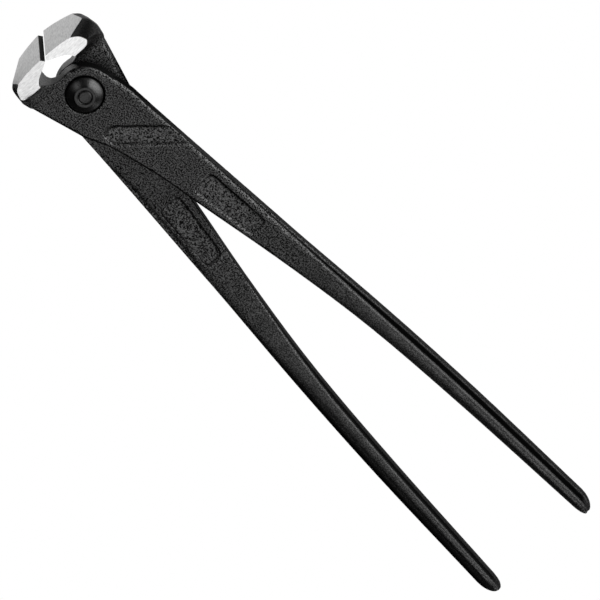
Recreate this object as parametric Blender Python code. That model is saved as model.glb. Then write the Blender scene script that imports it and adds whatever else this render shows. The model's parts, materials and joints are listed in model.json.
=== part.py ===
"""End cutting nippers with long handles for tying and cutting reinforcing wire.

Two levers of one forging cross at a lap joint and turn on a rivet. Lengths are in metres.
A lever is modelled closed: its cutting edge lies on the plane Y = 0 at -X, its jaw is on the
-Y side, its handle runs to +X on the +Y side, and its half of the joint is above Z = 0.
"""
import math

import bmesh
import bpy
from mathutils import Matrix, Vector

# Overall sizes
OVERALL_LENGTH = 0.2506
FACE_REACH = 0.0211
EDGE_REACH = 0.0197
JAW_WIDTH = 0.0256
JOINT_THICKNESS = 0.0130
HANDLE_THICKNESS = 0.0102
OPEN_HALF_ANGLE = math.radians(0.60)

# Clearances
LAP_GAP = 0.0003
EDGE_LAND = 0.00005
SCOOP_GAP = 0.0004
CUT_OVERRUN = 0.0020

# Jaw
JAW_HALF_HEIGHT = 0.0178
JAW_RIDGE_Z = 0.0018
JAW_RIDGE_ROUND = 0.0006
FACE_RADIUS = 0.0500
FACE_EDGE_BEVEL = 0.0010
FACE_CORNER_ROUND = 0.0027
SIDE_TAPER = 0.145
SIDE_FLAT_END = 0.0143
SIDE_CORNER_RADIUS = 0.0018
SHOULDER_REACH = 0.0080
CHEEK_REACH = 0.0050
CHEEK_SINK = 0.0002
MOUTH_HALF_HEIGHT = 0.0077

# Joint plate
CROWN_RADIUS = 0.0098
CROWN_END_ANGLE = math.radians(188.0)
SHOULDER_X = 0.0086
SHOULDER_Y = 0.0122
PLATE_END_X = 0.0200
PLATE_BACK_ANGLE = math.radians(15.6)
PLATE_BACK_OFFSET = 0.0135

# Handle outline
HANDLE_OUTER_OFFSET = 0.0208
HANDLE_INNER_OFFSET = 0.0157
TIP_LENGTH = 0.0070
LAP_END_X = 0.0650
FULL_SECTION_X = 0.1450

# Handle section
OUTER_FLANGE = 0.00190
INNER_FLANGE = 0.00090
RIM_HALF_THICKNESS = 0.0021
OUTER_FILLET_WIDTH = 0.0013
INNER_FILLET_WIDTH = 0.0010
FILLET_DEPTH = 0.0008
FACE_CROWN = 0.0004
LAP_EDGE_BREAK = 0.0003

# Rivet
RIVET_RADIUS = 0.0045
RIVET_CLEARANCE = 0.0003
COUNTERBORE_RADIUS = 0.0067
COUNTERBORE_DEPTH = 0.0016
HEAD_BASE_RADIUS = 0.0063
HEAD_TOP_RADIUS = 0.0040
HEAD_STAND = 0.0030
HEAD_EDGE_ROUND = 0.0005
RING_GROOVE_RADIUS = 0.0023
RING_GROOVE_WIDTH = 0.0006
RING_GROOVE_DEPTH = 0.0003

# Forged recesses
RECESS_DEPTH = 0.00045
CHEEK_RECESS_X = 0.0140
CHEEK_RECESS_LENGTH = 0.0234
CHEEK_RECESS_HEIGHT = 0.0192
HANDLE_RECESS_X = 0.0497
HANDLE_RECESS_LENGTH = 0.0264
HANDLE_RECESS_MARGIN = 0.0030
CHEEK_RECESS_CORNER_RADIUS = 0.0018
HANDLE_RECESS_CORNER_RADIUS = 0.0025

ROUND_STEPS = 48
SHARP_ANGLE = math.radians(28.0)

# Shares of the handle's reach, the outer offset and the inner offset
HANDLE_KNOT_SHARES = (
    (0.087, 0.606, -0.441),
    (0.161, 0.651, -0.169),
    (0.248, 0.708, 0.039),
    (0.392, 0.806, 0.386),
    (0.545, 0.905, 0.661),
    (0.741, 1.001, 0.858),
    (0.967, 1.049, 1.003),
)
STATION_COUNT = 24
TIP_ANGLES = tuple(math.radians(angle) for angle in (18, 36, 52, 66, 78, 86))
OUTER_TIP_POWER = 1.0
INNER_TIP_POWER = 0.55
TIP_THINNING_SHARE = 0.30
TIP_CENTRE_SHARE = 0.42
OUTER_TIP_INSET_SHARE = 0.40
INNER_TIP_INSET_SHARE = 0.50
FACE_CROWN_SHARES = (0.17, 0.33, 0.50, 0.67, 0.83)

# Fillet steps: share of the width left, share of the depth gone
FILLET_SHARES = ((1.00, 0.00), (0.52, 0.17), (0.20, 0.52), (0.00, 1.00))
# Cove steps: share of the flange still cut back, share of the way from crease to rim
COVE_SHARES = ((0.86, 0.30), (0.58, 0.66), (0.22, 0.90))
RIM_SHARE = 0.55

# Jaw outline behind the ground face: shares of the edge's reach, the half height and the slope
JAW_OUTER_SHARES = (
    (0.820, 0.990, 1.00),
    (0.765, 1.002, 0.90),
    (0.690, 1.012, 0.75),
    (0.620, 1.014, 0.62),
    (0.460, 0.975, 0.60),
)
JAW_INNER_SHARES = ((0.254, 0.780), (0.254, -0.060), (0.430, -0.080))
JAW_ROOT_ANGLES = tuple(math.radians(angle) for angle in (166, 177, 188))
# Mouth outline from the joint to the cutting edge: shares of the edge's reach and mouth's height
MOUTH_SHARES = (
    (0.485, 0.345),
    (0.497, 0.540),
    (0.528, 0.723),
    (0.574, 0.842),
    (0.640, 0.935),
    (0.725, 1.004),
    (0.772, 0.935),
    (0.822, 0.800),
    (0.870, 0.600),
    (0.935, 0.274),
)
JAW_LEVELS = (-1.0, -0.75, -0.5, -0.25, -0.02, 0.08, 0.14, 0.19, 0.25, 0.35, 0.56, 0.78, 1.0)
# How much the crown and its front corner fall away for each step sideways from the ridge
CROWN_SLOPE = 0.28
CORNER_GROWTH = 0.14
CORNER_FULL_SHARE = 0.75
# The flat's rounded corner at the crown, and how far the ramp draws in beyond it
CORNER_ANGLES = tuple(math.radians(angle) for angle in (0, 28, 50, 70))
RAMP_DRAW_SHARE = 1.05
FACE_STEPS = 5
CORNER_STEPS = 4
CROWN_CENTRE_SHARE = 0.75
CHEEK_STEPS = 10
CHEEK_POWER = 4.0
SHOULDER_POWER = 2.6
CROWN_STEPS = 15
MOUTH_ROOT_SHARES = ((0.470, 0.400), (0.482, 0.620), (0.530, 0.880))
NECK_SHARES = ((0.45, 0.50), (0.80, 0.92))
CROWN_LEAD_SHARE = 0.72
PLATE_BACK_SHARES = (-0.50, 0.0, 0.40)
PLATE_HEEL_SHARES = ((0.650, 0.526), (0.600, 0.966))
CHEEK_RECESS_SHARES = (
    (0.000, 0.229),
    (0.590, 0.984),
    (1.000, 1.000),
    (0.231, 0.005),
    (0.068, 0.000),
    (0.000, 0.135),
)
CHEEK_RECESS_LOW_SHARE = 0.3125
HANDLE_RECESS_TAPER_SHARE = 0.62


def clear_scene():
    for old in list(bpy.data.objects):
        bpy.data.objects.remove(old)


def steel(name, colour, roughness, metallic):
    material = bpy.data.materials.new(name)
    material.use_nodes = True
    shader = material.node_tree.nodes["Principled BSDF"]
    shader.inputs["Base Color"].default_value = (*colour, 1.0)
    shader.inputs["Roughness"].default_value = roughness
    shader.inputs["Metallic"].default_value = metallic
    return material


def blackened_steel():
    return steel("blackened_forged_steel", (0.045, 0.045, 0.047), 0.45, 0.7)


def rivet_steel():
    return steel("blackened_rivet_steel", (0.06, 0.06, 0.062), 0.38, 0.8)


def new_object(name, bm, material=None):
    bmesh.ops.recalc_face_normals(bm, faces=bm.faces)
    mesh = bpy.data.meshes.new(name)
    bm.to_mesh(mesh)
    bm.free()
    body = bpy.data.objects.new(name, mesh)
    bpy.context.scene.collection.objects.link(body)
    if material:
        mesh.materials.append(material)
    return body


def prism(name, points, low, high):
    """A flat outline extruded along Z."""
    bm = bmesh.new()
    face = bm.faces.new([bm.verts.new((x, y, low)) for x, y in points])
    grown = bmesh.ops.extrude_face_region(bm, geom=[face])
    moved = [item for item in grown["geom"] if isinstance(item, bmesh.types.BMVert)]
    bmesh.ops.translate(bm, verts=moved, vec=(0.0, 0.0, high - low))
    return new_object(name, bm)


def cylinder(name, radius, low, high):
    bm = bmesh.new()
    bmesh.ops.create_cone(
        bm,
        cap_ends=True,
        segments=ROUND_STEPS * 2,
        radius1=radius,
        radius2=radius,
        depth=high - low,
        matrix=Matrix.Translation((0.0, 0.0, (low + high) / 2)),
    )
    return new_object(name, bm)


def combine(body, other, operation):
    """Apply a Boolean to body and remove the other shape."""
    change = body.modifiers.new(other.name, "BOOLEAN")
    change.operation = operation
    change.solver = "EXACT"
    change.object = other
    graph = bpy.context.evaluated_depsgraph_get()
    mesh = bpy.data.meshes.new_from_object(body.evaluated_get(graph))
    body.modifiers.remove(change)
    body.data = mesh
    bpy.data.objects.remove(other)


def ease(value, start, end):
    """Smooth 0 to 1 as value goes from start to end."""
    share = min(max((value - start) / (end - start), 0.0), 1.0)
    return share * share * (3.0 - 2.0 * share)


def mix(first, second, share):
    return first + (second - first) * share


def spline(knots, x):
    """A smooth curve through knots of (x, value, ...), read at x."""
    last = len(knots) - 2
    index = 0
    while index < last and x > knots[index + 1][0]:
        index += 1
    left = knots[index]
    right = knots[index + 1]
    before = knots[max(index - 1, 0)]
    after = knots[min(index + 2, len(knots) - 1)]
    span = right[0] - left[0]
    share = (x - left[0]) / span
    values = []
    for column in range(1, len(left)):
        slope_left = (right[column] - before[column]) / (right[0] - before[0])
        slope_right = (after[column] - left[column]) / (after[0] - left[0])
        square = share * share
        cube = square * share
        values.append(
            (2 * cube - 3 * square + 1) * left[column]
            + (cube - 2 * square + share) * span * slope_left
            + (3 * square - 2 * cube) * right[column]
            + (cube - square) * span * slope_right
        )
    return values


def handle_edges(x):
    """The outer and inner edge of the handle at x."""
    reach = OVERALL_LENGTH - FACE_REACH
    knots = [
        (place * reach, outer * HANDLE_OUTER_OFFSET, inner * HANDLE_INNER_OFFSET)
        for place, outer, inner in HANDLE_KNOT_SHARES
    ]
    return spline(knots, x)


def near_level(x):
    return mix(JOINT_THICKNESS / 2, HANDLE_THICKNESS / 2, ease(x, LAP_END_X, FULL_SECTION_X))


def far_level(x):
    return mix(LAP_GAP / 2, -HANDLE_THICKNESS / 2, ease(x, LAP_END_X, FULL_SECTION_X))


def side_layers(x, flange, width):
    """Steps down one side of the section: how far each lies inside the edge, and its height."""
    near = near_level(x)
    far = far_level(x)
    grown = ease(x, LAP_END_X, FULL_SECTION_X)
    middle = (near + far) / 2
    cut_back = flange * ease(x, PLATE_END_X, FULL_SECTION_X)
    far_back = flange * grown
    rim = mix((near - far) / 4, RIM_HALF_THICKNESS, grown)
    far_width = mix(LAP_EDGE_BREAK, width, grown)
    far_depth = mix(LAP_EDGE_BREAK, FILLET_DEPTH, grown)
    upper = []
    lower = []
    for inset, drop in FILLET_SHARES:
        upper.append((cut_back + inset * width, near - drop * FILLET_DEPTH))
        lower.append((far_back + inset * far_width, far + drop * far_depth))
    for inset, travel in COVE_SHARES:
        upper.append((cut_back * inset, mix(near - FILLET_DEPTH, middle + rim, travel)))
        lower.append((far_back * inset, mix(far + far_depth, middle - rim, travel)))
    upper.append((0.0, middle + rim * RIM_SHARE))
    lower.append((0.0, middle - rim * RIM_SHARE))
    return upper + lower[::-1]


def handle_stations():
    start = PLATE_END_X
    end = OVERALL_LENGTH - FACE_REACH - TIP_LENGTH
    return [mix(start, end, index / STATION_COUNT) for index in range(STATION_COUNT + 1)]


def crowned(first, last, lift):
    """Points across a face from one edge to the other, lifted in an arc."""
    points = []
    for share in FACE_CROWN_SHARES:
        point = first.lerp(last, share)
        point.z += 4 * lift * share * (1.0 - share)
        points.append(point)
    return points


def closed_section(outer, inner, lift):
    """One loop round the section: outer side, far face, inner side and near face."""
    far_face = crowned(outer[-1], inner[-1], -lift)
    near_face = crowned(inner[0], outer[0], lift)
    return outer + far_face + inner[::-1] + near_face


def section_ring(x):
    """The section at x, whose faces are crowned where the handle stands clear of the lap."""
    outer_edge, inner_edge = handle_edges(x)
    outer = [
        Vector((x, outer_edge - inset, height))
        for inset, height in side_layers(x, OUTER_FLANGE, OUTER_FILLET_WIDTH)
    ]
    inner = [
        Vector((x, inner_edge + inset, height))
        for inset, height in side_layers(x, INNER_FLANGE, INNER_FILLET_WIDTH)
    ]
    return closed_section(outer, inner, FACE_CROWN * ease(x, LAP_END_X, FULL_SECTION_X))


def tip_ring(angle):
    """The section drawn in round the handle's end."""
    base = OVERALL_LENGTH - FACE_REACH - TIP_LENGTH
    outer_edge, inner_edge = handle_edges(base)
    centre = mix(inner_edge, outer_edge, TIP_CENTRE_SHARE)
    thin = 1.0 - TIP_THINNING_SHARE * (1.0 - math.cos(angle))
    columns = []
    sides = (
        (outer_edge, -1.0, OUTER_FLANGE, OUTER_FILLET_WIDTH, OUTER_TIP_POWER, OUTER_TIP_INSET_SHARE),
        (inner_edge, 1.0, INNER_FLANGE, INNER_FILLET_WIDTH, INNER_TIP_POWER, INNER_TIP_INSET_SHARE),
    )
    for edge, inward, flange, width, power, set_back in sides:
        column = []
        for inset, height in side_layers(base, flange, width):
            travel = (TIP_LENGTH - inset * set_back) * math.sin(angle)
            reach = (edge + inward * inset - centre) * math.cos(angle) ** power
            column.append(Vector((base + travel, centre + reach, height * thin)))
        columns.append(column)
    return closed_section(columns[0], columns[1], FACE_CROWN * thin * math.cos(angle))


def head_path():
    """The joint plate's outline, from the handle's outer side round the crown to its inner side."""
    shoulder = math.hypot(SHOULDER_X, SHOULDER_Y)
    tangent = math.atan2(SHOULDER_Y, SHOULDER_X) + math.acos(CROWN_RADIUS / shoulder)
    outer_edge = handle_edges(PLATE_END_X)[0]
    points = [
        (mix(PLATE_END_X, SHOULDER_X, along), mix(outer_edge, SHOULDER_Y, across))
        for along, across in NECK_SHARES
    ]
    left_over = SHOULDER_X * (1.0 - CROWN_LEAD_SHARE)
    slope = math.tan(tangent - math.pi / 2)
    points.append((SHOULDER_X * CROWN_LEAD_SHARE, SHOULDER_Y - left_over * slope))
    for step in range(CROWN_STEPS + 1):
        angle = mix(tangent, CROWN_END_ANGLE, step / CROWN_STEPS)
        points.append((CROWN_RADIUS * math.cos(angle), CROWN_RADIUS * math.sin(angle)))
    for along, across in MOUTH_ROOT_SHARES:
        points.append((-EDGE_REACH * along, -MOUTH_HALF_HEIGHT * across))
    for along, across in PLATE_HEEL_SHARES:
        points.append((-EDGE_REACH * along, -JAW_HALF_HEIGHT * across))
    points += [plate_back_point(share) for share in PLATE_BACK_SHARES]
    return points


def plate_back_point(share):
    """A point on the straight back of the joint plate, by its share of the plate's reach."""
    along = PLATE_END_X * share
    foot = -PLATE_BACK_OFFSET
    return (
        along * math.cos(PLATE_BACK_ANGLE) - foot * math.sin(PLATE_BACK_ANGLE),
        along * math.sin(PLATE_BACK_ANGLE) + foot * math.cos(PLATE_BACK_ANGLE),
    )


def inward_normals(points, before, after):
    """Unit normals that point into the plate, for an outline that runs anticlockwise."""
    chain = [before] + points + [after]
    normals = []
    for index in range(1, len(chain) - 1):
        left = Vector(chain[index + 1]) - Vector(chain[index])
        right = Vector(chain[index]) - Vector(chain[index - 1])
        along = (left.normalized() + right.normalized()).normalized()
        normals.append(Vector((-along.y, along.x)))
    return normals


def bridge(bm, first, second):
    """Faces between two open rows of vertices."""
    for index in range(len(first) - 1):
        corners = (first[index], first[index + 1], second[index + 1], second[index])
        bm.faces.new(corners)


def plate_and_handle(name):
    """The half thick joint plate and the handle as one skin."""
    bm = bmesh.new()
    rings = [section_ring(x) for x in handle_stations()]
    rings += [tip_ring(angle) for angle in TIP_ANGLES]
    rows = [[bm.verts.new(place) for place in ring] for ring in rings]
    for first, second in zip(rows, rows[1:]):
        bridge(bm, first + first[:1], second + second[:1])
    bm.faces.new(rows[-1])

    path = head_path()
    start = (PLATE_END_X, handle_edges(PLATE_END_X)[0])
    end = (PLATE_END_X, handle_edges(PLATE_END_X)[1])
    normals = inward_normals(path, start, end)
    layers = side_layers(PLATE_END_X, OUTER_FLANGE, OUTER_FILLET_WIDTH)
    count = len(layers)
    across = len(FACE_CROWN_SHARES)
    chains = []
    for level, (inset, height) in enumerate(layers):
        chain = [rows[0][level]]
        for place, normal in zip(path, normals):
            moved = Vector(place) + normal * inset
            chain.append(bm.verts.new((moved.x, moved.y, height)))
        chain.append(rows[0][2 * count + across - 1 - level])
        chains.append(chain)
    for first, second in zip(chains, chains[1:]):
        bridge(bm, first, second)
    bm.faces.new(chains[0] + rows[0][2 * count + across :])
    bm.faces.new(chains[-1] + rows[0][count : count + across][::-1])
    bmesh.ops.triangulate(bm, faces=[face for face in bm.faces if len(face.verts) > 4])
    return new_object(name, bm)


def face_x(height):
    """The ground front face is a wide arc: its x at a height from the cutting plane."""
    return -FACE_REACH + height * height / (2.0 * FACE_RADIUS)


def ridge_distance(level):
    """How far a share of the jaw's half width lies from the crown's ridge, which is rounded."""
    offset = level * (JAW_WIDTH / 2 - SIDE_TAPER * JAW_HALF_HEIGHT * CROWN_CENTRE_SHARE)
    return math.hypot(offset - JAW_RIDGE_Z, JAW_RIDGE_ROUND) - JAW_RIDGE_ROUND


def jaw_section(level):
    """The jaw's outline at a share of its half width, from the cutting edge round to the mouth."""
    aside = ridge_distance(level)
    height = JAW_HALF_HEIGHT - CROWN_SLOPE * aside
    border = height - FACE_CORNER_ROUND - CORNER_GROWTH * aside
    points = [(-EDGE_REACH, EDGE_LAND)]
    for step in range(FACE_STEPS + 1):
        place = mix(FACE_EDGE_BEVEL, border, step / FACE_STEPS)
        points.append((face_x(place), place))
    start = Vector(points[-1])
    end = Vector((-EDGE_REACH * JAW_OUTER_SHARES[0][0], height * JAW_OUTER_SHARES[0][1]))
    corner = start.lerp(end, 0.5).lerp(Vector((face_x(height), height)), CORNER_FULL_SHARE)
    for step in range(1, CORNER_STEPS):
        share = step / CORNER_STEPS
        points.append(tuple(start.lerp(corner, share).lerp(corner.lerp(end, share), share)))
    for along, across, steepness in JAW_OUTER_SHARES:
        skin = JAW_HALF_HEIGHT - CROWN_SLOPE * steepness * aside
        points.append((-EDGE_REACH * along, skin * across))
    for along, across in JAW_INNER_SHARES:
        points.append((-EDGE_REACH * along, height * across))
    for angle in JAW_ROOT_ANGLES:
        reach = CROWN_RADIUS - EDGE_LAND
        points.append((reach * math.cos(angle), -reach * math.sin(angle)))
    for along, across in MOUTH_SHARES:
        points.append((-EDGE_REACH * along, MOUTH_HALF_HEIGHT * across))
    return [Vector((x, -y, level * (JAW_WIDTH / 2 - SIDE_TAPER * y))) for x, y in points]


def jaw_side_profile(near_flat, far_flat):
    """The jaw from the side, as (x, z): ground flats, the cheek's ramp and the lap shoulder."""
    half = JAW_WIDTH / 2
    near_end = JOINT_THICKNESS / 2 - CHEEK_SINK
    front = -FACE_REACH - CUT_OVERRUN
    high = half + CUT_OVERRUN
    points = [(-far_flat, -high), (front, -high), (front, high), (-near_flat, high)]
    for step in range(CHEEK_STEPS + 1):
        share = step / CHEEK_STEPS
        x = mix(-near_flat, -CHEEK_REACH, share)
        points.append((x, mix(near_end, half, (1.0 - share) ** CHEEK_POWER)))
    points.append((-CHEEK_REACH, JOINT_THICKNESS / 4))
    points.append((-SHOULDER_REACH, JOINT_THICKNESS / 4))
    for step in range(CHEEK_STEPS, -1, -1):
        share = step / CHEEK_STEPS
        x = mix(-far_flat, -SHOULDER_REACH, share)
        points.append((x, mix(LAP_GAP / 2, -half, (1.0 - share) ** SHOULDER_POWER)))
    return points


def flat_end(height, level):
    """Where a side flat ends at a height from the cutting plane: it rounds in at the crown."""
    crown = JAW_HALF_HEIGHT - CROWN_SLOPE * ridge_distance(level)
    above = min(max((height - crown) / SIDE_CORNER_RADIUS + 1.0, 0.0), RAMP_DRAW_SHARE)
    inside = min(above, math.sin(CORNER_ANGLES[-1]))
    drawn = 1.0 - math.sqrt(1.0 - inside * inside) + (above - inside)
    return SIDE_FLAT_END + SIDE_CORNER_RADIUS * drawn


def jaw_side_blank(name):
    """A solid whose outline from the side is the jaw's, with its flats rounded at the crown."""
    heights = [-CUT_OVERRUN, JAW_HALF_HEIGHT + CUT_OVERRUN]
    for level in (-1.0, 1.0):
        crown = JAW_HALF_HEIGHT - CROWN_SLOPE * ridge_distance(level)
        for share in [math.sin(angle) for angle in CORNER_ANGLES] + [RAMP_DRAW_SHARE]:
            heights.append(crown + SIDE_CORNER_RADIUS * (share - 1.0))
    bm = bmesh.new()
    rings = []
    for height in sorted(heights):
        profile = jaw_side_profile(flat_end(height, 1.0), flat_end(height, -1.0))
        rings.append([bm.verts.new((x, -height, z)) for x, z in profile])
    for first, second in zip(rings, rings[1:]):
        bridge(bm, first + first[:1], second + second[:1])
    bmesh.ops.triangulate(bm, faces=bm.faces)
    bm.faces.new(rings[0])
    bm.faces.new(rings[-1])
    return new_object(name, bm)


def jaw(name):
    """The full width jaw with its cutting edge, scooped round the other lever's crown."""
    bm = bmesh.new()
    rings = [[bm.verts.new(place) for place in jaw_section(level)] for level in JAW_LEVELS]
    for first, second in zip(rings, rings[1:]):
        bridge(bm, first + first[:1], second + second[:1])
    bm.faces.new(rings[0])
    bm.faces.new(rings[-1])
    body = new_object(name, bm)
    far = JAW_HALF_HEIGHT + CUT_OVERRUN
    combine(body, jaw_side_blank("side"), "INTERSECT")
    scoop = cylinder("scoop", CROWN_RADIUS + SCOOP_GAP, -far, LAP_GAP / 2)
    combine(body, scoop, "DIFFERENCE")
    return body


def rounded(points, radius, steps=4):
    """The outline with each corner turned into a short arc."""
    result = []
    count = len(points)
    for index in range(count):
        here = Vector(points[index])
        back = Vector(points[index - 1]) - here
        ahead = Vector(points[(index + 1) % count]) - here
        reach = min(radius, back.length / 2, ahead.length / 2)
        start = here + back.normalized() * reach
        end = here + ahead.normalized() * reach
        for step in range(steps + 1):
            share = step / steps
            first = start.lerp(here, share)
            second = here.lerp(end, share)
            result.append(tuple(first.lerp(second, share)))
    return result


def cheek_recess():
    """The slanted panel sunk in the outer face beside the rivet."""
    low = -CHEEK_RECESS_HEIGHT * CHEEK_RECESS_LOW_SHARE
    points = [
        (CHEEK_RECESS_X + CHEEK_RECESS_LENGTH * along, low + CHEEK_RECESS_HEIGHT * across)
        for along, across in CHEEK_RECESS_SHARES
    ]
    return rounded(points, CHEEK_RECESS_CORNER_RADIUS)


def handle_recess():
    """The long panel at the root of the handle, with its sides along the handle's edges."""
    ends = []
    for share in (0.0, 1.0):
        x = HANDLE_RECESS_X + HANDLE_RECESS_LENGTH * share
        outer, inner = handle_edges(x)
        margin = HANDLE_RECESS_MARGIN * mix(1.0, HANDLE_RECESS_TAPER_SHARE, share)
        ends.append((x, inner + margin, outer - HANDLE_RECESS_MARGIN))
    (x0, low0, high0), (x1, low1, high1) = ends
    return rounded([(x0, low0), (x1, low1), (x1, high1), (x0, high0)], HANDLE_RECESS_CORNER_RADIUS)


def lever(name, material):
    """One forging: joint plate, handle and jaw, with the rivet's seat and the sunk panels."""
    body = plate_and_handle(name)
    combine(body, jaw("jaw"), "UNION")
    top = JOINT_THICKNESS / 2
    far = JAW_WIDTH
    bore = cylinder("bore", RIVET_RADIUS + RIVET_CLEARANCE, -far, far)
    combine(body, bore, "DIFFERENCE")
    seat = cylinder("seat", COUNTERBORE_RADIUS, top - COUNTERBORE_DEPTH, far)
    combine(body, seat, "DIFFERENCE")
    floor = top - RECESS_DEPTH
    combine(body, prism("cheek_panel", cheek_recess(), floor, far), "DIFFERENCE")
    combine(body, prism("outer_panel", handle_recess(), floor, far), "DIFFERENCE")
    ceiling = LAP_GAP / 2 + RECESS_DEPTH
    combine(body, prism("inner_panel", handle_recess(), -far, ceiling), "DIFFERENCE")
    body.data.materials.clear()
    body.data.materials.append(material)
    body.data.shade_smooth()
    body.data.set_sharp_from_angle(angle=SHARP_ANGLE)
    return body


def rivet_profile():
    """Half the rivet's outline, as (radius, z), from the axis on top down to mid length."""
    seat = JOINT_THICKNESS / 2 - COUNTERBORE_DEPTH + RIVET_CLEARANCE
    top = JOINT_THICKNESS / 2 + HEAD_STAND
    groove_in = RING_GROOVE_RADIUS - RING_GROOVE_WIDTH / 2
    groove_out = RING_GROOVE_RADIUS + RING_GROOVE_WIDTH / 2
    return [
        (0.0, top),
        (groove_in, top),
        (RING_GROOVE_RADIUS, top - RING_GROOVE_DEPTH),
        (groove_out, top),
        (HEAD_TOP_RADIUS - HEAD_EDGE_ROUND, top),
        (HEAD_TOP_RADIUS, top - HEAD_EDGE_ROUND / 2),
        (mix(HEAD_TOP_RADIUS, HEAD_BASE_RADIUS, 0.40), mix(top, seat, 0.50)),
        (HEAD_BASE_RADIUS - HEAD_EDGE_ROUND, mix(top, seat, 0.85)),
        (HEAD_BASE_RADIUS, seat + HEAD_EDGE_ROUND),
        (HEAD_BASE_RADIUS, seat),
        (RIVET_RADIUS, seat),
    ]


def rivet(name, material):
    """The rivet turned from its profile, with the same head on both ends."""
    half = rivet_profile()
    points = half + [(radius, -z) for radius, z in half[::-1]]
    bm = bmesh.new()
    row = [bm.verts.new((radius, 0.0, z)) for radius, z in points]
    edges = [bm.edges.new(pair) for pair in zip(row, row[1:])]
    bmesh.ops.spin(
        bm,
        geom=row + edges,
        cent=(0.0, 0.0, 0.0),
        axis=(0.0, 0.0, 1.0),
        angle=math.tau,
        steps=ROUND_STEPS,
        use_merge=True,
    )
    bmesh.ops.remove_doubles(bm, verts=bm.verts, dist=EDGE_LAND / 10)
    body = new_object(name, bm, material)
    body.data.shade_smooth()
    body.data.set_sharp_from_angle(angle=SHARP_ANGLE)
    return body


def lowest_and_middle(bodies):
    """The height of the lowest point and the middle of the outline seen from above."""
    bpy.context.view_layer.update()
    corners = [body.matrix_world @ vertex.co for body in bodies for vertex in body.data.vertices]
    xs = [corner.x for corner in corners]
    ys = [corner.y for corner in corners]
    low = min(corner.z for corner in corners)
    return Vector(((min(xs) + max(xs)) / 2, (min(ys) + max(ys)) / 2, low))


def main():
    clear_scene()
    black = blackened_steel()
    front = lever("front_lever", black)
    rear = lever("rear_lever", black)
    pin = rivet("pivot_rivet", rivet_steel())
    pivot = bpy.data.objects.new("pivot_axis", None)
    bpy.context.scene.collection.objects.link(pivot)
    for body in (front, rear, pin):
        body.parent = pivot
    front.rotation_euler = (0.0, 0.0, OPEN_HALF_ANGLE)
    rear.rotation_euler = (math.pi, 0.0, -OPEN_HALF_ANGLE)
    pivot.location = -lowest_and_middle((front, rear, pin))
    bpy.context.view_layer.update()
    print("pivot axis at", tuple(round(value, 6) for value in pivot.matrix_world.translation))


main()
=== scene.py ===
"""The looks of a pair of end cutting nippers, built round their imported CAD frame."""
import json
import math

import bmesh
import bpy
import numpy as np
from bpy.props import FloatProperty, FloatVectorProperty, IntProperty, PointerProperty
from mathutils import Matrix, Vector


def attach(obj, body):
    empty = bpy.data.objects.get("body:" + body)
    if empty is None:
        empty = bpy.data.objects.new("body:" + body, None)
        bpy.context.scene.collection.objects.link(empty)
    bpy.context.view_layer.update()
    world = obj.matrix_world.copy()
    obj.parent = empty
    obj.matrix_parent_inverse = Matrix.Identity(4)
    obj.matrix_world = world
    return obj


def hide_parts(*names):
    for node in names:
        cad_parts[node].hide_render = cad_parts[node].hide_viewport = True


bl_info = {
    "name": "Nippers Looks",
    "version": (1, 0, 0),
    "blender": (4, 5, 0),
    "location": "View3D > Sidebar > Nippers",
    "description": "Forged levers, a turned rivet and a studio for end cutting nippers",
    "category": "Object",
}

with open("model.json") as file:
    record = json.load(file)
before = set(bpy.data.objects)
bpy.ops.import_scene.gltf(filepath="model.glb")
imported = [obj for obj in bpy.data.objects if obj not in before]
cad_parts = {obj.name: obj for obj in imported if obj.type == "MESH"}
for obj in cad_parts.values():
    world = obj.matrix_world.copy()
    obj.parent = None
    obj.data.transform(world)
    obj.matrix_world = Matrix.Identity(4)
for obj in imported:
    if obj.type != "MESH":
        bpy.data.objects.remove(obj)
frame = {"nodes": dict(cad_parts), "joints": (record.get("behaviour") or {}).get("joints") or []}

MERGE_DISTANCE = 1e-6

# The hinge, and how far each lever is turned on it at rest from where the edges would meet
PIVOT = Vector(frame["joints"][0]["pos_m"])
REST_HALF_ANGLE = math.radians(0.60)

# The levers' sizes, which the CAD source gives in the same words. A lever is measured from
# the pivot, with x along its handle, its cutting edge at y = 0 and its lap face looking down.
FACE_REACH = 0.0211
EDGE_REACH = 0.0197
JAW_WIDTH = 0.0256
JOINT_THICKNESS = 0.0130
HANDLE_THICKNESS = 0.0102
LAP_GAP = 0.0003
EDGE_LAND = 0.00005
FACE_RADIUS = 0.0500
FACE_EDGE_BEVEL = 0.0010
SIDE_TAPER = 0.145
LAP_END_X = 0.0650
FULL_SECTION_X = 0.1450
RIM_HALF_THICKNESS = 0.0021
RECESS_DEPTH = 0.00045
HEAD_BASE_RADIUS = 0.0063
HEAD_STAND = 0.0030

# The shape of the grinding: where its faces end behind, how deep the jaw is, how the arc of
# its front is divided, and how close to its ground planes a point of the jaw lies
STOCK_END_X = -EDGE_REACH * 0.70
GROUND_END_X = -0.0125
JAW_BACK_X = -0.0102
JAW_DEPTH = 0.0240
ARC_STEPS = 24
CLEARANCE = 0.30
CAD_SLACK = 0.00003
GROUND_SLACK = 0.00002
FORGED, GROUND_FRONT, GROUND_SIDE, EDGE_BEVEL = range(4)

# The jaw's outer corner, which is softened more than the rest of the forging
CORNER_X = (-0.0175, -0.0050)
CORNER_Y = -0.0120
CORNER_HEIGHT = 0.0068
CORNER_SHRINK = 0.0008

# The forged panels: the floors as the CAD has them, and how much deeper the skin's floors lie
PANEL_X = (0.010, 0.085)
NEAR_PANEL_FLOOR = JOINT_THICKNESS / 2 - RECESS_DEPTH
LAP_PANEL_FLOOR = LAP_GAP / 2 + RECESS_DEPTH
PANEL_SLACK = 0.00010
PANEL_SINK = 0.00026

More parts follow.
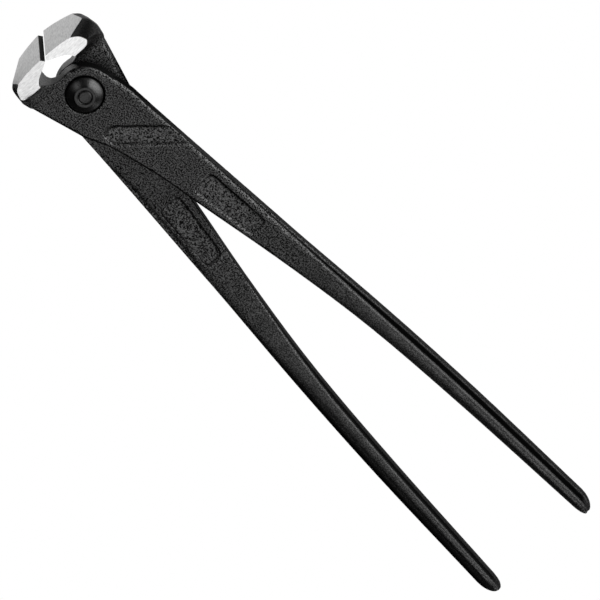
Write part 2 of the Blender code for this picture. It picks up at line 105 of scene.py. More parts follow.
# Where the lap face rolls over toward an edge: the edge's side of the long axis, the x at
# which the roll starts and ends, the lengths of its fades there, its width and its drop
LAP_ROLLS = (
    (1.0, (0.018, 0.150), (0.020, 0.060), 0.0042, 0.0010),
    (-1.0, (-0.0115, 0.022), (0.002, 0.006), 0.0022, 0.0009),
)
LAP_ROLL_TOP = 0.0030
EDGE_TABLE_STEP = 0.0020

# How the skin's edges are found: how often it is smoothed, the weights of a point and of its
# neighbours, and the bend that counts as a full edge
EDGE_PASSES = 3
OWN_WEIGHT = 0.3
NEIGHBOUR_WEIGHT = 0.7
FULL_EDGE_BEND = 0.00003

# Where the skin's painted shades start and end, as soft limits: the coves beside a handle's rim,
# the jaw's crown, the wall beside the joint and the inner side of the neck
COVE_START_X = (0.030, 0.060)
COVE_END_X = (0.2235, 0.2275)
COVE_PANEL_END_X = (0.080, 0.095)
CROWN_END_X = (-0.0165, -0.0135)
CROWN_START_DEPTH = (0.0100, 0.0130)
WALL_START_X = (-0.0125, -0.0105)
WALL_END_X = (0.020, 0.040)
WALL_START_Y = (0.001, 0.004)
WALL_TOP = (0.0050, 0.0058)
WALL_RADIUS = (0.0080, 0.0090)
WALL_SHADE = 0.8
NECK_START_X = (-0.004, 0.004)
NECK_END_X = (0.060, 0.075)
NECK_SHADE = 0.9
LEAST_PANEL = 0.1

# Angles above which the shading breaks
LEVER_SHARP_ANGLE = math.radians(24.0)
RIVET_SHARP_ANGLE = math.radians(35.0)

# The rivet: its top, the underside of its heads, its shank, and its outline from the axis
# outward, as a radius and a drop below the top. A groove rings the middle of its flat top.
RIVET_TOP = JOINT_THICKNESS / 2 + HEAD_STAND
HEAD_UNDERSIDE = JOINT_THICKNESS / 2 - 0.0013
SHANK_RADIUS = 0.0045
RIVET_OUTLINE = (
    (0.0, 0.0),
    (0.00185, 0.0),
    (0.00200, 0.00004),
    (0.00222, 0.00026),
    (0.00230, 0.00030),
    (0.00238, 0.00026),
    (0.00260, 0.00004),
    (0.00275, 0.0),
    (0.00345, 0.0),
    (0.00368, 0.00005),
    (0.00386, 0.00018),
    (0.00400, 0.00038),
    (0.00490, 0.00132),
    (0.00560, 0.00208),
    (0.00610, 0.00262),
    (0.00625, 0.00290),
    (HEAD_BASE_RADIUS, 0.00330),
)

# The camera: the middle of the picture from the pivot, the picture's right and the way back
# to the camera
PICTURE_MIDDLE = Vector((0.10594, 0.00121, 0.0))
PICTURE_RIGHT = Vector((0.67771, 0.73434, 0.03811))
PICTURE_BACK = Vector((-0.27816, 0.20804, 0.93773))
SENSOR_WIDTH = 36.0
CLIP_START = 0.1
CLIP_END = 30.0

# The soft boxes, whose powers the stage's properties give: where each one stands, what it
# points at, and its size
SOFT_BOXES = {
    "top": ((-0.04, -0.08, 0.36), (-0.09, 0.0, 0.0), (0.24, 0.28)),
    "shoulder": ((0.03, 0.23, 0.33), (-0.02, 0.0, 0.0), (0.34, 0.24)),
    "side": ((0.08, 0.45, 0.18), (0.0, 0.0, 0.0), (0.80, 0.30)),
    "tail": ((0.60, -0.08, 0.10), (-0.10, 0.0, 0.0), (0.20, 0.16)),
    "front": ((-0.55, -0.05, 0.16), (-0.10, 0.0, 0.0), (0.30, 0.20)),
}

# The floor, and where the cards start and end that steel mirrors in it, as soft limits: one
# before the jaws, a bright patch between their tips and a faint light beside the handles
FLOOR_RADIUS = 3.0
FLOOR_DROP = 0.0002
CARD_END_X = (-0.116, -0.100)
CARD_START_Y = (-0.027, -0.021)
CARD_END_Y = (0.024, 0.031)
PATCH_START_X = (-0.123, -0.119)
PATCH_END_X = (-0.113, -0.109)
PATCH_START_Y = (-0.006, -0.003)
PATCH_END_Y = (0.006, 0.010)
PATCH_SHINE = 1.3
FAINT_START_X = (-0.090, -0.060)
FAINT_START_Y = (-0.034, -0.026)


class ForgingLook(bpy.types.PropertyGroup):
    """Sizes and colours of the forged levers"""

    voxel: FloatProperty(
        name="Voxel",
        description="Grid that the forging's skin is drawn on",
        default=0.00026,
        min=0.0002,
        unit="LENGTH",
    )
    corner_passes: IntProperty(
        name="Corner passes",
        description="How often the jaw's outer corner is softened before the whole forging",
        default=10,
        min=0,
    )
    soft_passes: IntProperty(
        name="Soft passes",
        description="How often the whole forging is softened before grinding",
        default=5,
        min=0,
    )
    most_triangles: IntProperty(
        name="Most triangles",
        description="How many triangles the skin may keep",
        default=185000,
        min=10000,
    )
    grinding_stock: FloatProperty(
        name="Grinding stock",
        description="Steel left on the jaw that the grinding takes off",
        default=0.0005,
        unit="LENGTH",
    )
    black: FloatVectorProperty(
        name="Black",
        description="Colour of the phosphated forging",
        subtype="COLOR",
        size=3,
        default=(0.039, 0.039, 0.039),
    )
    ground_face: FloatVectorProperty(
        name="Ground front",
        description="Colour of the ground front faces",
        subtype="COLOR",
        size=3,
        default=(0.80, 0.80, 0.80),
    )
    ground_side: FloatVectorProperty(
        name="Ground sides",
        description="Colour of the ground side flats",
        subtype="COLOR",
        size=3,
        default=(0.80, 0.80, 0.80),
    )
    # Painted shade: the bevel's near-black stands in for the shade in the strip between the jaws
    bevel: FloatVectorProperty(
        name="Bevel",
        description="Colour of the dark bevel along the cutting edge",
        subtype="COLOR",
        size=3,
        default=(0.002, 0.002, 0.002),
    )


class RivetLook(bpy.types.PropertyGroup):
    """Size and colour of the turned rivet"""

    steps: IntProperty(
        name="Steps",
        description="Steps round the turned rivet",
        default=128,
        min=32,
    )
    black: FloatVectorProperty(
        name="Black",
        description="Colour of the rivet",
        subtype="COLOR",
        size=3,
        default=(0.060, 0.060, 0.060),
    )


class StageLook(bpy.types.PropertyGroup):
    """The camera's place and the strengths of the lights"""

    distance: FloatProperty(
        name="Camera distance",
        description="From the camera to the middle of the picture",
        default=8.0,
        unit="LENGTH",
    )
    width: FloatProperty(
        name="Picture width",
        description="Width of the picture at the tool",
        default=0.20294,
        unit="LENGTH",
    )
    top_power: FloatProperty(
        name="Top light",
        description="Power of the soft box over the head",
        default=0.36,
        unit="POWER",
    )
    shoulder_power: FloatProperty(
        name="Shoulder light",
        description="Power of the soft box above the handles' outer side",
        default=0.375,
        unit="POWER",
    )
    side_power: FloatProperty(
        name="Side light",
        description="Power of the long soft box beside the handles",
        default=3.4,
        unit="POWER",
    )
    tail_power: FloatProperty(
        name="Tail light",
        description="Power of the low soft box beyond the handles",
        default=0.8,
        unit="POWER",
    )
    front_power: FloatProperty(
        name="Front light",
        description="Power of the soft box before the jaws",
        default=0.6,
        unit="POWER",
    )
    surround: FloatProperty(
        name="Surround",
        description="Strength of the room's light",
        default=0.06,
        min=0.0,
    )
    floor_shine: FloatProperty(
        name="Card in steel",
        description="How bright the card before the jaws is in a reflection",
        default=0.56,
        min=0.0,
    )


def new_material(name, colour, roughness, metallic=0.0):
    """A plain material, whose nodes can be linked further."""
    material = bpy.data.materials.new(name)
    material.use_nodes = True
    shader = material.node_tree.nodes["Principled BSDF"]
    shader.inputs["Base Color"].default_value = (*colour, 1.0)
    shader.inputs["Roughness"].default_value = roughness
    shader.inputs["Metallic"].default_value = metallic
    return material


def node(material, kind, **values):
    """A new shader node with some of its settings."""
    made = material.node_tree.nodes.new(kind)
    for key, value in values.items():
        setattr(made, key, value)
    return made


def link(material, source, target):
    material.node_tree.links.new(source, target)


def noise(material, wavelength, detail, rough=0.5, stretch=(1.0, 1.0, 1.0)):
    """Noise on object coordinates whose blotches are about one wavelength across."""
    place = node(material, "ShaderNodeTexCoord")
    mapping = node(material, "ShaderNodeMapping")
    mapping.inputs["Scale"].default_value = [1.0 / (wavelength * share) for share in stretch]
    texture = node(material, "ShaderNodeTexNoise")
    texture.inputs["Scale"].default_value = 1.0
    texture.inputs["Detail"].default_value = detail
    texture.inputs["Roughness"].default_value = rough
    link(material, place.outputs["Object"], mapping.inputs["Vector"])
    link(material, mapping.outputs["Vector"], texture.inputs["Vector"])
    return texture.outputs["Fac"]


def spread(material, source, taken, given):
    """A value moved from one range to another."""
    change = node(material, "ShaderNodeMapRange")
    for label, limit in zip(("From Min", "From Max", "To Min", "To Max"), (*taken, *given)):
        change.inputs[label].default_value = limit
    link(material, source, change.inputs["Value"])
    return change.outputs["Result"]


def computed(material, operation, *values):
    """A math node's result from plain numbers and other nodes' outputs."""
    made = node(material, "ShaderNodeMath", operation=operation)
    for entry, value in zip(made.inputs, values):
        if isinstance(value, float):
            entry.default_value = value
        else:
            link(material, value, entry)
    return made.outputs["Value"]


def times(material, first, *others):
    """The product of some values, which after the first may be plain numbers."""
    for other in others:
        first = computed(material, "MULTIPLY", first, other)
    return first


def largest(material, first, *others):
    """The largest of some values."""
    for other in others:
        first = computed(material, "MAXIMUM", first, other)
    return first


def soft_band(material, source, rise, fall):
    """1 from the end of the rise to the start of the fall of a value, and 0 outside both."""
    risen = spread(material, source, rise, (0.0, 1.0))
    return times(material, risen, spread(material, source, fall, (1.0, 0.0)))


def place_on(material):
    """The object's own coordinates, as outputs named X, Y and Z."""
    parts = node(material, "ShaderNodeSeparateXYZ")
    link(material, node(material, "ShaderNodeTexCoord").outputs["Object"], parts.inputs["Vector"])
    return parts.outputs


def skin_measure(material, name):
    """A measure that mark_skin has stored on the piece."""
    return node(material, "ShaderNodeAttribute", attribute_name=name).outputs["Fac"]


def tinted(material, colour, strength):
    """The colour made darker or lighter by a value."""
    scale = node(material, "ShaderNodeVectorMath", operation="SCALE")
    scale.inputs[0].default_value = colour
    link(material, strength, scale.inputs["Scale"])
    return scale.outputs["Vector"]


def bumped(material, height, distance):
    """A normal that a height tilts, by a relief of the given depth."""
    bump = node(material, "ShaderNodeBump")
    bump.inputs["Distance"].default_value = distance
    link(material, height, bump.inputs["Height"])
    return bump.outputs["Normal"]


def blackened_forging(colour):
    """Phosphated forged steel with a blasted grain, worn lighter and given a painted highlight on
    its edges, with painted shade in its creases and coves.
    """
    material = new_material("blackened_forging", colour, roughness=0.42, metallic=1.0)
    shader = material.node_tree.nodes["Principled BSDF"]
    grain = noise(material, wavelength=0.00047, detail=2.0, rough=0.6)
    cloud = noise(material, wavelength=0.0060, detail=3.0)
    x = place_on(material)["X"]
    shade = skin_measure(material, "shade")

    # The grain has less contrast on the handles than on the head, and its black is deeper there
    handle_start = (-0.030, 0.030)
    speckle = spread(material, grain, (0.42, 0.60), (0.0, 2.30))
    contrast = spread(material, x, handle_start, (1.0, 0.40))
    lift = spread(material, x, handle_start, (0.0, 0.60))
    speckle = computed(material, "MULTIPLY_ADD", speckle, contrast, lift)
    handle = spread(material, x, (0.0, 0.09), (1.0, 0.76))

    drift = spread(material, cloud, (0.35, 0.65), (0.90, 1.10))
    # Wear and painted highlight make sharp convex edges lighter; painted shade makes concave
    # creases darker
    edge_wear_and_crease_shade = spread(material, skin_measure(material, "edge"), (-1.0, 1.0), (0.65, 1.6))
    # Painted shade from the shade measure blackens the coves, crown, joint wall and neck side;
    # panel floors are lighter
    deep = spread(material, shade, (0.0, 1.0), (1.0, 0.02))
    panel = spread(material, shade, (-1.0, 0.0), (1.35, 1.0))
    strength = times(material, speckle, handle, drift, edge_wear_and_crease_shade, deep, panel)
    link(material, tinted(material, colour, strength), shader.inputs["Base Color"])
    link(material, spread(material, grain, (0.3, 0.7), (0.36, 0.52)), shader.inputs["Roughness"])
    link(material, bumped(material, grain, distance=0.00016), shader.inputs["Normal"])
    return material


def ground_steel(name, colour, roughness, stretch):
    """Bright steel with fine grinding lines."""
    material = new_material(name, colour, roughness, metallic=1.0)
    shader = material.node_tree.nodes["Principled BSDF"]
    lines = noise(material, wavelength=0.00030, detail=3.0, stretch=stretch)
    cloud = noise(material, wavelength=0.0040, detail=2.0)
    streaks = spread(material, lines, (0.30, 0.70), (0.84, 1.16))
    drift = spread(material, cloud, (0.30, 0.70), (0.96, 1.04))
    strength = times(material, streaks, drift)
    link(material, tinted(material, colour, strength), shader.inputs["Base Color"])
    link(material, bumped(material, lines, distance=0.00001), shader.inputs["Normal"])
    return material


def turned_rivet(colour):
    """Blackened steel, with painted shade darkening the flat tops of the heads."""
    material = new_material("blackened_rivet", colour, roughness=0.34, metallic=1.0)
    shader = material.node_tree.nodes["Principled BSDF"]
    grain = noise(material, wavelength=0.00045, detail=2.0)
    raised = computed(material, "SUBTRACT", place_on(material)["Z"], PIVOT.z)
    height = computed(material, "ABSOLUTE", raised)
    # Painted shade: the colour is dimmed on the flat tops of the heads
    flat_top = (RIVET_TOP - 0.0006, RIVET_TOP - 0.0003)
    speckle = spread(material, grain, (0.30, 0.70), (0.70, 1.30))
    strength = times(material, speckle, spread(material, height, flat_top, (1.0, 0.52)))
    link(material, tinted(material, colour, strength), shader.inputs["Base Color"])
    link(material, bumped(material, grain, distance=0.00003), shader.inputs["Normal"])
    return material


def lever_places():
    """Where each lever stands: the front one as modelled, the rear one turned over."""
    front = Matrix.Translation(PIVOT) @ Matrix.Rotation(REST_HALF_ANGLE, 4, "Z")
    turned = Matrix.Rotation(math.pi, 4, "X")
    rear = Matrix.Translation(PIVOT) @ Matrix.Rotation(-REST_HALF_ANGLE, 4, "Z") @ turned
    return {"front_lever": front, "rear_lever": rear}


def add_object(name, mesh, materials=()):
    """A new object in the scene, at the origin, with its materials in order."""
    made = bpy.data.objects.new(name, mesh)
    bpy.context.scene.collection.objects.link(made)
    for material in materials:
        mesh.materials.append(material)
    return made


def to_mesh(name, bm):
    """The bmesh as a new mesh; the bmesh is freed."""
    mesh = bpy.data.meshes.new(name)
    bm.to_mesh(mesh)
    bm.free()
    return mesh


def applied(thing):
    """The object's mesh with its modifiers applied."""
    graph = bpy.context.evaluated_depsgraph_get()
    mesh = bpy.data.meshes.new_from_object(thing.evaluated_get(graph))
    thing.modifiers.clear()
    thing.data = mesh
    return mesh


def face_x(height):
    """The ground front face is a wide arc: its x at a height from the cutting plane."""
    return -FACE_REACH + height * height / (2.0 * FACE_RADIUS)


def side_height(y):
    """Half the jaw's width between its ground sides, which taper toward the outside."""
    return JAW_WIDTH / 2 + SIDE_TAPER * y


def leave_stock(bm, stock):
    """Push the jaw's ground faces out, so that the softened forging can be ground to size."""
    edge_share = 1.6
    for vertex in bm.verts:
        x, y, z = vertex.co
        if x > STOCK_END_X or y > EDGE_LAND:
            continue
        if abs(abs(z) - side_height(y)) < CAD_SLACK:
            vertex.co.z += math.copysign(stock, z)
        if y > -FACE_EDGE_BEVEL / 2 and x < -EDGE_REACH + CAD_SLACK:
            vertex.co.x -= stock
            vertex.co.y += stock * edge_share
        elif y < -FACE_EDGE_BEVEL / 2 and abs(x - face_x(y)) < CAD_SLACK:
            vertex.co.x -= stock


def roll_lap_edge(bm, side, limits, fades, width, drop):
    """Roll the lap face over toward its edge on one side of the long axis."""
    start, end = limits
    edges = {}
    for vertex in bm.verts:
        place = int(vertex.co.x // EDGE_TABLE_STEP)
        edges[place] = max(edges.get(place, -1.0), side * vertex.co.y)
    for vertex in bm.verts:
        x, y, z = vertex.co
        looks_down = vertex.normal.z <= -0.4
        if not start < x < end or not looks_down or z > LAP_ROLL_TOP:
            continue
        place = x / EDGE_TABLE_STEP - 0.5
        low = math.floor(place)
        edge = edges[low] + (edges[low + 1] - edges[low]) * (place - low)
        near = min(1.0, max(0.0, 1.0 - (edge - side * y) / width))
        fade = min(1.0, (x - start) / fades[0], (end - x) / fades[1])
        vertex.co.z += drop * near * near * fade


def deepen_panels(bm):
    """Sink the floors of the forged panels, whose walls the softening would flatten."""
    for vertex in bm.verts:
        x, _, z = vertex.co
        level = abs(vertex.normal.z) >= 0.8
        if not PANEL_X[0] < x < PANEL_X[1] or not level:
            continue
        for floor, step in ((NEAR_PANEL_FLOOR, -PANEL_SINK), (LAP_PANEL_FLOOR, PANEL_SINK)):
            if abs(z - floor) < PANEL_SLACK:
                vertex.co.z += step


def grinding_envelope():
    """A solid that is bounded by the jaw's ground planes and clear of the rest of the lever."""
    outline = [(JAW_BACK_X, CLEARANCE), (JAW_BACK_X, -EDGE_LAND), (-EDGE_REACH, -EDGE_LAND)]
    for step in range(ARC_STEPS + 1):
        y = -(FACE_EDGE_BEVEL + (JAW_DEPTH - FACE_EDGE_BEVEL) * step / ARC_STEPS)
        outline.append((face_x(y), y))
    outline += [(CLEARANCE, -JAW_DEPTH), (CLEARANCE, CLEARANCE)]
    # Its heights are only signs until its sides are set to the jaw's tapered width
    bm = bmesh.new()
    floor = bm.faces.new([bm.verts.new((x, y, -1.0)) for x, y in outline])
    grown = bmesh.ops.extrude_face_region(bm, geom=[floor])
    top = [item for item in grown["geom"] if isinstance(item, bmesh.types.BMVert)]
    bmesh.ops.translate(bm, verts=top, vec=(0.0, 0.0, 2.0))
    for vertex in bm.verts:
        vertex.co.z = math.copysign(side_height(vertex.co.y), vertex.co.z)
    bmesh.ops.recalc_face_normals(bm, faces=bm.faces)
    return add_object("grinding_envelope", to_mesh("grinding_envelope", bm))


def soften(bm, verts):
    """Draw each point halfway to the middle of its neighbours."""
    bmesh.ops.smooth_vert(
        bm, verts=verts, factor=0.5, use_axis_x=True, use_axis_y=True, use_axis_z=True
    )


def crown_corner(bm, share):
    """The skin where the crown meets the ramps beside the flats: less of it as the share grows."""
    inset = CORNER_SHRINK * share
    return [
        vertex
        for vertex in bm.verts
        if CORNER_X[0] + inset < vertex.co.x < CORNER_X[1] - inset
        and vertex.co.y < CORNER_Y - inset
        and abs(vertex.co.z) > CORNER_HEIGHT + inset
    ]


def ease(values, start, end):
    """0 before the start, 1 past the end and a smooth rise between them."""
    share = np.clip((values - start) / (end - start), 0.0, 1.0)
    return share * share * (3.0 - 2.0 * share)


def window(values, rise, fall):
    """1 from the end of the rise to the start of the fall, and 0 outside both."""
    return ease(values, *rise) * (1.0 - ease(values, *fall))


def neighbour_mean(values, pairs, valence):
    """The mean of each vertex's neighbours."""
    total = np.zeros_like(values)
    for column in range(values.shape[1]):
        for first, second in ((0, 1), (1, 0)):
            weights = values[pairs[:, second], column]
            total[:, column] += np.bincount(pairs[:, first], weights, len(values))
    return total / valence[:, None]


def bends(places, normals, pairs, valence):
    """How far the skin moves along its normals when it is smoothed: above zero on its edges."""
    smooth = places
    for _ in range(EDGE_PASSES):
        mean = neighbour_mean(smooth, pairs, valence)
        smooth = smooth * OWN_WEIGHT + NEIGHBOUR_WEIGHT * mean
    return -np.einsum("ij,ij->i", smooth - places, normals)


def handle_cove_shade(x, z, flatness):
    """1 in the coves between a handle's rim and its faces, where painted shade darkens the
    forging, but not on the flat panels.
    """
    grown = ease(x, LAP_END_X, FULL_SECTION_X)
    near = JOINT_THICKNESS / 2 * (1.0 - grown) + HANDLE_THICKNESS / 2 * grown
    lap = LAP_GAP / 2 * (1.0 - grown) - HANDLE_THICKNESS / 2 * grown
    rim = (near - lap) / 4 * (1.0 - grown) + RIM_HALF_THICKNESS * grown
    height = np.abs(z - (near + lap) / 2)
    top = (near - lap) / 2
    inside = window(height, (rim, rim + 0.0006), (top - 0.0011, top - 0.0005))
    panels = ease(flatness, 0.80, 0.92) * (1.0 - ease(x, *COVE_PANEL_END_X))
    return inside * window(x, COVE_START_X, COVE_END_X) * (1.0 - panels)


def crown(x, y):
    """1 on the jaw's crown, behind its ground front, where painted shade blackens the forging."""
    return (1.0 - ease(x, *CROWN_END_X)) * ease(-y, *CROWN_START_DEPTH)


def joint_wall_shadow(x, y, z, flatness):
    """1 on the plate's upright wall beside the joint, below its top edge: a painted shadow between
    the levers.
    """
    beside = ease(np.hypot(x, y), *WALL_RADIUS) * ease(y, *WALL_START_Y)
    along = window(x, WALL_START_X, WALL_END_X)
    below = 1.0 - ease(z, *WALL_TOP)
    upright = 1.0 - ease(flatness, 0.2, 0.5)
    return beside * along * below * upright


def neck_side_shade(x, normals):
    """1 on the side of the neck that looks toward the other lever's handle, where painted shade
    darkens it.
    """
    return ease(-normals[:, 1], 0.20, 0.45) * window(x, NECK_START_X, NECK_END_X)


def panel_floors(x, z, flatness):
    """1 on the sunk floors of the panels on the near side and on the lap side."""
    start, end = PANEL_X
    level = ease(flatness, 0.85, 0.95) * window(x, (start, start + 0.002), (end, end + 0.002))
    off_near = np.abs(z - (NEAR_PANEL_FLOOR - PANEL_SINK))
    off_lap = np.abs(z - (LAP_PANEL_FLOOR + PANEL_SINK))
    return level * (1.0 - ease(np.minimum(off_near, off_lap), PANEL_SLACK, 0.00025))


def shades(places, normals):
    """Toward 1 where painted shade darkens the forging, toward -1 on the lighter panel floors."""
    x, y, z = places.T
    flatness = np.abs(normals[:, 2])
    coves = handle_cove_shade(x, z, flatness)
    wall = joint_wall_shadow(x, y, z, flatness) * WALL_SHADE
    neck = neck_side_shade(x, normals) * NECK_SHADE
    deep = np.maximum.reduce([coves, wall, crown(x, y), neck])
    panels = panel_floors(x, z, flatness)
    return np.where(panels > LEAST_PANEL, -panels, deep)


def mark_skin(mesh):
    """Store how sharply the skin bends as edge, and as shade its painted shade and its lighter
    panel floors.
    """
    count = len(mesh.vertices)
    vectors = {}
    for name in ("co", "normal"):
        values = np.empty(count * 3)
        mesh.vertices.foreach_get(name, values)
        vectors[name] = values.reshape(-1, 3)
    pairs = np.empty(len(mesh.edges) * 2, dtype=np.int64)
    mesh.edges.foreach_get("vertices", pairs)
    pairs = pairs.reshape(-1, 2)
    valence = np.maximum(np.bincount(pairs.ravel(), minlength=count), 1).astype(float)
    measures = {
        "edge": bends(vectors["co"], vectors["normal"], pairs, valence) / FULL_EDGE_BEND,
        "shade": shades(vectors["co"], vectors["normal"]),
    }
    for name, values in measures.items():
        layer = mesh.attributes.new(name, "FLOAT", "POINT")
        layer.data.foreach_set("value", np.clip(values, -1.0, 1.0).astype(np.float32))


def ground_slot(face):
    """The material slot of a face, from the ground plane that it lies in."""
    x, y, z = face.calc_center_median()
    normal = face.normal
    if x > GROUND_END_X or y > EDGE_LAND:
        return FORGED
    if abs(abs(z) - side_height(y)) < GROUND_SLACK and abs(normal.z) > 0.9:
        return GROUND_SIDE
    if normal.x < -0.85 and abs(x - face_x(y)) < GROUND_SLACK * 2:
        return GROUND_FRONT
    if y > -FACE_EDGE_BEVEL and x < -EDGE_REACH + GROUND_SLACK and normal.x < -0.4:
        return EDGE_BEVEL
    return FORGED


def forged_lever(look):
    """The lever in its own place: a soft forging, ground at its jaw."""
    bm = bmesh.new()
    bm.from_mesh(frame["nodes"]["front_lever"].data)
    bmesh.ops.remove_doubles(bm, verts=bm.verts, dist=MERGE_DISTANCE)
    bm.transform(lever_places()["front_lever"].inverted())
    leave_stock(bm, look.grinding_stock)
    body = add_object("lever_forging", to_mesh("lever_forging", bm))
    skin = body.modifiers.new("skin", "REMESH")
    skin.mode = "VOXEL"
    skin.voxel_size = look.voxel
    mesh = applied(body)

    bm = bmesh.new()
    bm.from_mesh(mesh)
    for roll in LAP_ROLLS:
        roll_lap_edge(bm, *roll)
    deepen_panels(bm)
    for step in range(look.corner_passes):
        soften(bm, crown_corner(bm, step / look.corner_passes))
    for _ in range(look.soft_passes):
        soften(bm, bm.verts)
    body.data = to_mesh("lever_forging", bm)
    mark_skin(body.data)

    thin = body.modifiers.new("thin", "DECIMATE")
    thin.ratio = min(1.0, look.most_triangles / (2 * len(body.data.polygons)))
    envelope = grinding_envelope()
    grind = body.modifiers.new("grind", "BOOLEAN")
    grind.operation = "INTERSECT"
    grind.solver = "EXACT"
    grind.object = envelope
    mesh = applied(body)
    bpy.data.objects.remove(envelope)
    bpy.data.objects.remove(body)
    return mesh


def finish_lever(name, mesh, place, materials):
    """A copy of the lever in its place, with its ground faces in their own materials."""
    bm = bmesh.new()
    bm.from_mesh(mesh)
    for face in bm.faces:
        face.material_index = ground_slot(face)
        face.smooth = True
    bm.transform(place)
    made = add_object(name, to_mesh(name, bm), materials)
    made.data.set_sharp_from_angle(angle=LEVER_SHARP_ANGLE)
    return made


class NIPPERS_OT_levers(bpy.types.Operator):
    """Build both levers as soft forgings with ground jaws"""

    bl_idname = "nippers.levers"
    bl_label = "Levers"

    def execute(self, context):
        look = context.scene.nippers_forging
        mesh = forged_lever(look)
        across = (1.0, 1.0, 8.0)
        outward = (1.0, 8.0, 1.0)
        materials = [
            blackened_forging(look.black),
            ground_steel("ground_face", look.ground_face, roughness=0.50, stretch=across),
            ground_steel("ground_side", look.ground_side, roughness=0.40, stretch=outward),
            # The edge bevel's near-black colour is painted shade
            new_material("edge_bevel", look.bevel, roughness=0.6, metallic=1.0),
        ]
        bodies = {"front_lever": "front", "rear_lever": "rear"}
        for node_name, place in lever_places().items():
            made = finish_lever(node_name + "_forging", mesh, place, materials)
            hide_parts(node_name)
            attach(made, bodies[node_name])
        return {"FINISHED"}


def rivet_profile():
    """The rivet's outline from the axis on top to the axis below, as (radius, height)."""
    half = [(radius, RIVET_TOP - drop) for radius, drop in RIVET_OUTLINE]
    half += [(HEAD_BASE_RADIUS, HEAD_UNDERSIDE), (SHANK_RADIUS, HEAD_UNDERSIDE)]
    return half + [(radius, -height) for radius, height in half[::-1]]


class NIPPERS_OT_rivet(bpy.types.Operator):
    """Turn the rivet with a head on both ends"""

    bl_idname = "nippers.rivet"
    bl_label = "Rivet"

    def execute(self, context):
        look = context.scene.nippers_rivet
        bm = bmesh.new()
        row = [bm.verts.new((radius, 0.0, height)) for radius, height in rivet_profile()]
        edges = [bm.edges.new(pair) for pair in zip(row, row[1:])]
        bmesh.ops.spin(
            bm,
            geom=row + edges,
            cent=(0.0, 0.0, 0.0),
            axis=(0.0, 0.0, 1.0),
            angle=math.tau,
            steps=look.steps,
            use_merge=True,
        )
        bmesh.ops.remove_doubles(bm, verts=bm.verts, dist=MERGE_DISTANCE)
        bmesh.ops.recalc_face_normals(bm, faces=bm.faces)
        for face in bm.faces:
            face.smooth = True
        bm.transform(Matrix.Translation(PIVOT))
        made = add_object("turned_rivet", to_mesh("turned_rivet", bm), [turned_rivet(look.black)])
        made.data.set_sharp_from_angle(angle=RIVET_SHARP_ANGLE)
        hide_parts("pivot_rivet")
        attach(made, "rear")
        return {"FINISHED"}


def picture_axes():
    """The picture's right, its up, and the way back to the camera, square to each other."""
    right = PICTURE_RIGHT.normalized()
    back = PICTURE_BACK.normalized()
    back = (back - right * back.dot(right)).normalized()
    return right, back.cross(right), back


def add_camera(look):
    """A camera so far away that its picture is almost free of perspective."""
    right, up, back = picture_axes()
    middle = PIVOT + PICTURE_MIDDLE
    data = bpy.data.cameras.new("camera")
    data.sensor_width = SENSOR_WIDTH
    data.lens = data.sensor_width * look.distance / look.width
    data.clip_start = CLIP_START
    data.clip_end = CLIP_END
    camera = bpy.data.objects.new("camera", data)
    bpy.context.scene.collection.objects.link(camera)
    turn = Matrix((right, up, back)).transposed().to_4x4()
    camera.matrix_world = Matrix.Translation(middle + back * look.distance) @ turn
    bpy.context.scene.camera = camera


def add_soft_box(name, middle, target, size, power):
    """A rectangular lamp that points from its middle at the target."""
    data = bpy.data.lights.new(name, "AREA")
    data.shape = "RECTANGLE"
    data.size, data.size_y = size
    data.energy = power
    lamp = bpy.data.objects.new(name, data)
    bpy.context.scene.collection.objects.link(lamp)
    lamp.location = middle
    lamp.rotation_mode = "QUATERNION"
    lamp.rotation_quaternion = (Vector(target) - Vector(middle)).to_track_quat("-Z", "Y")


def mirrored_cards(material, in_steel):
    """What steel mirrors in the floor: the card, the bright patch and the faint light."""
    place = place_on(material)
    card = times(
        material,
        spread(material, place["X"], CARD_END_X, (in_steel, 0.0)),
        soft_band(material, place["Y"], CARD_START_Y, CARD_END_Y),
    )
    patch = times(
        material,
        soft_band(material, place["X"], PATCH_START_X, PATCH_END_X),
        soft_band(material, place["Y"], PATCH_START_Y, PATCH_END_Y),
        PATCH_SHINE,
    )
    faint = times(
        material,
        spread(material, place["X"], FAINT_START_X, (0.1, 1.0)),
        spread(material, place["Y"], FAINT_START_Y, (0.03, 0.14)),
    )
    return largest(material, card, patch, faint)


def floor_material(in_steel):
    """Plain white to the camera, dark with bright cards to steel, and grey to all else."""
    material = new_material("pale_floor", (0.5, 0.5, 0.5), roughness=0.9)
    shader = material.node_tree.nodes["Principled BSDF"]
    shader.inputs["Specular IOR Level"].default_value = 0.0
    path = node(material, "ShaderNodeLightPath")
    shine = node(material, "ShaderNodeEmission")
    strength = largest(material, mirrored_cards(material, in_steel), path.outputs["Is Camera Ray"])
    link(material, strength, shine.inputs["Strength"])
    seen = largest(material, path.outputs["Is Camera Ray"], path.outputs["Is Glossy Ray"])
    choice = node(material, "ShaderNodeMixShader")
    link(material, seen, choice.inputs[0])
    link(material, shader.outputs["BSDF"], choice.inputs[1])
    link(material, shine.outputs["Emission"], choice.inputs[2])
    output = material.node_tree.nodes["Material Output"]
    link(material, choice.outputs["Shader"], output.inputs["Surface"])
    return material


def add_floor(in_steel):
    """A wide disc just under the tool."""
    bm = bmesh.new()
    bmesh.ops.create_circle(bm, cap_ends=True, segments=64, radius=FLOOR_RADIUS)
    bmesh.ops.translate(bm, verts=bm.verts, vec=(0.0, 0.0, -FLOOR_DROP))
    floor = add_object("floor", to_mesh("floor", bm), [floor_material(in_steel)])


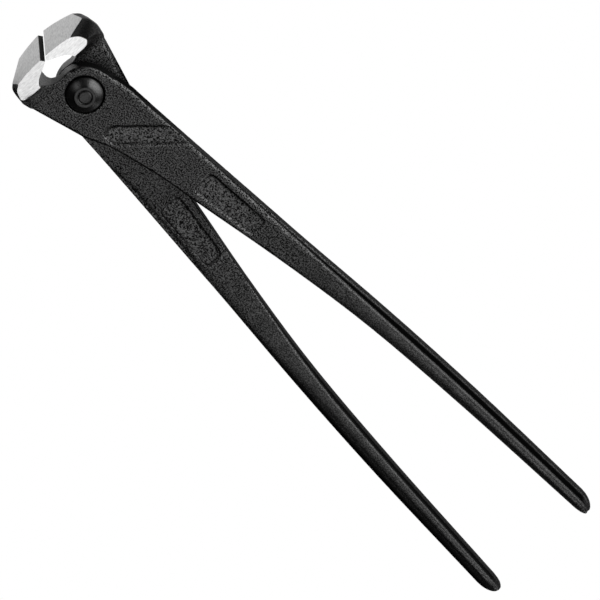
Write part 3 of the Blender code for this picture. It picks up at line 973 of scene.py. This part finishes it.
def add_world(strength):
    """A dim room that is plain white to the camera."""
    world = bpy.data.worlds.new("studio")
    world.use_nodes = True
    bpy.context.scene.world = world
    tree = world.node_tree
    backdrop = tree.nodes["Background"]
    backdrop.inputs["Color"].default_value = (1.0, 1.0, 1.0, 1.0)
    path = tree.nodes.new("ShaderNodeLightPath")
    level = tree.nodes.new("ShaderNodeMapRange")
    level.inputs["To Min"].default_value = strength
    level.inputs["To Max"].default_value = 1.0
    tree.links.new(path.outputs["Is Camera Ray"], level.inputs["Value"])
    tree.links.new(level.outputs["Result"], backdrop.inputs["Strength"])


class NIPPERS_OT_stage(bpy.types.Operator):
    """Set up the floor, the lights and the camera"""

    bl_idname = "nippers.stage"
    bl_label = "Stage"

    def execute(self, context):
        look = context.scene.nippers_stage
        context.scene.view_settings.view_transform = "Standard"
        add_floor(look.floor_shine)
        add_world(look.surround)
        for name, (middle, target, size) in SOFT_BOXES.items():
            add_soft_box(name + "_box", middle, target, size, getattr(look, name + "_power"))
        add_camera(look)
        return {"FINISHED"}


class NIPPERS_PT_panel(bpy.types.Panel):
    """Build the nippers piece by piece"""

    bl_label = "Nippers"
    bl_idname = "NIPPERS_PT_panel"
    bl_space_type = "VIEW_3D"
    bl_region_type = "UI"
    bl_category = "Nippers"

    def draw(self, context):
        column = self.layout.column()
        for operator in (NIPPERS_OT_levers, NIPPERS_OT_rivet, NIPPERS_OT_stage):
            column.operator(operator.bl_idname)


GROUPS = {"nippers_forging": ForgingLook, "nippers_rivet": RivetLook, "nippers_stage": StageLook}
CLASSES = (
    ForgingLook,
    RivetLook,
    StageLook,
    NIPPERS_OT_levers,
    NIPPERS_OT_rivet,
    NIPPERS_OT_stage,
    NIPPERS_PT_panel,
)


def register():
    for kind in CLASSES:
        bpy.utils.register_class(kind)
    for name, group in GROUPS.items():
        setattr(bpy.types.Scene, name, PointerProperty(type=group))


def unregister():
    for name in GROUPS:
        delattr(bpy.types.Scene, name)
    for kind in reversed(CLASSES):
        bpy.utils.unregister_class(kind)


def main():
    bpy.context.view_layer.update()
    register()
    bpy.ops.nippers.levers()
    bpy.ops.nippers.rivet()
    bpy.ops.nippers.stage()


if __name__ == "__main__":
    main()
